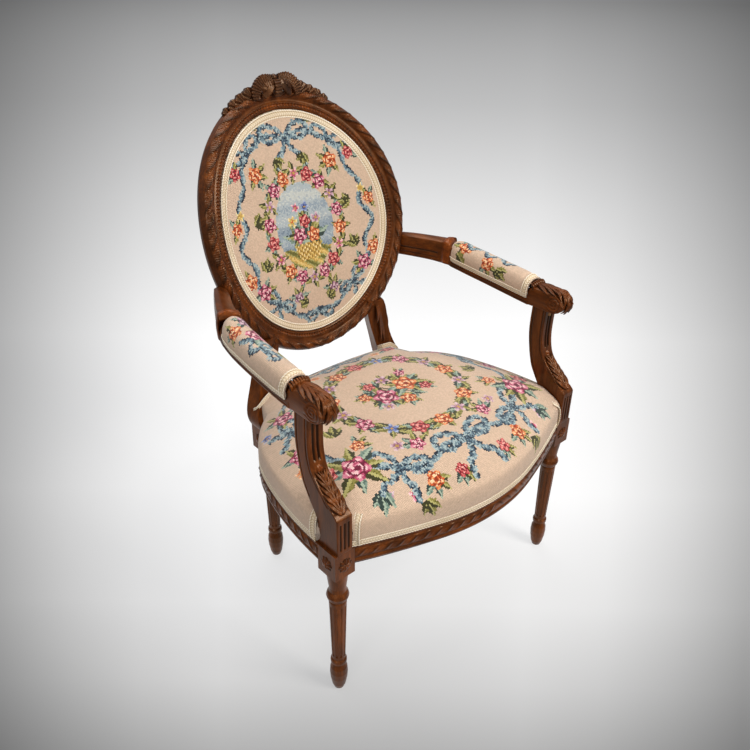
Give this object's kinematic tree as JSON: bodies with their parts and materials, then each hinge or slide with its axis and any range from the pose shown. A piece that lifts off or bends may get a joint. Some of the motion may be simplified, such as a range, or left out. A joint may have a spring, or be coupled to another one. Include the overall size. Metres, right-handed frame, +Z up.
{
  "type": "upholstered open armchair",
  "caption": "Oval-back open armchair with turned fluted legs, padded arms, sprung needlepoint seat and carved wood frame.",
  "frame": {"origin": "on the floor under the middle of the chair", "axes": "+Z up, the front of the chair faces -Y, +X to the right of a viewer in front of it"},
  "size_m": [0.645, 0.6756, 1.0068],
  "materials": {
    "walnut": "polished, dark in the carving",
    "beech": "bare",
    "steel": "coppered wire and plain steel",
    "jute": "woven",
    "hessian": "loose plain weave",
    "horsehair": "curled hair",
    "needlepoint": "wool stitches on canvas",
    "plain_cloth": "plain weave",
    "cambric": "thin black weave",
    "gimp": "woven braid"
  },
  "bodies": {
    "root": {"arm_dowels": "beech", "back_bottom_rail": "walnut", "back_cover": "needlepoint", "back_dowels": "beech", "back_gimp": "gimp", "back_hessian": "hessian", "back_left_upright": "walnut", "back_rail": "walnut", "back_right_upright": "walnut", "back_stuffing": "horsehair", "back_top_rail": "walnut", "back_webbing": "jute", "corner_blocks": "beech", "corner_screws": "steel", "crest_ribbon": "walnut", "dust_cover": "cambric", "front_left_leg": "walnut", "front_rail": "walnut", "front_right_leg": "walnut", "left_arm": "walnut", "left_arm_cover": "needlepoint", "left_arm_gimp": "gimp", "left_arm_stuffing": "horsehair", "left_arm_support": "walnut", "left_side_rail": "walnut", "outside_back_cover": "plain_cloth", "outside_back_gimp": "gimp", "rail_dowels": "beech", "rear_left_leg": "walnut", "rear_right_leg": "walnut", "right_arm": "walnut", "right_arm_cover": "needlepoint", "right_arm_gimp": "gimp", "right_arm_stuffing": "horsehair", "right_arm_support": "walnut", "right_side_rail": "walnut", "seat_cover": "needlepoint", "seat_gimp": "gimp", "seat_springs": "steel", "seat_stuffing": "horsehair", "seat_webbing": "jute", "spring_hessian": "hessian", "spring_twine": "jute", "webbing_tacks": "steel"}
  },
  "joints": []
}
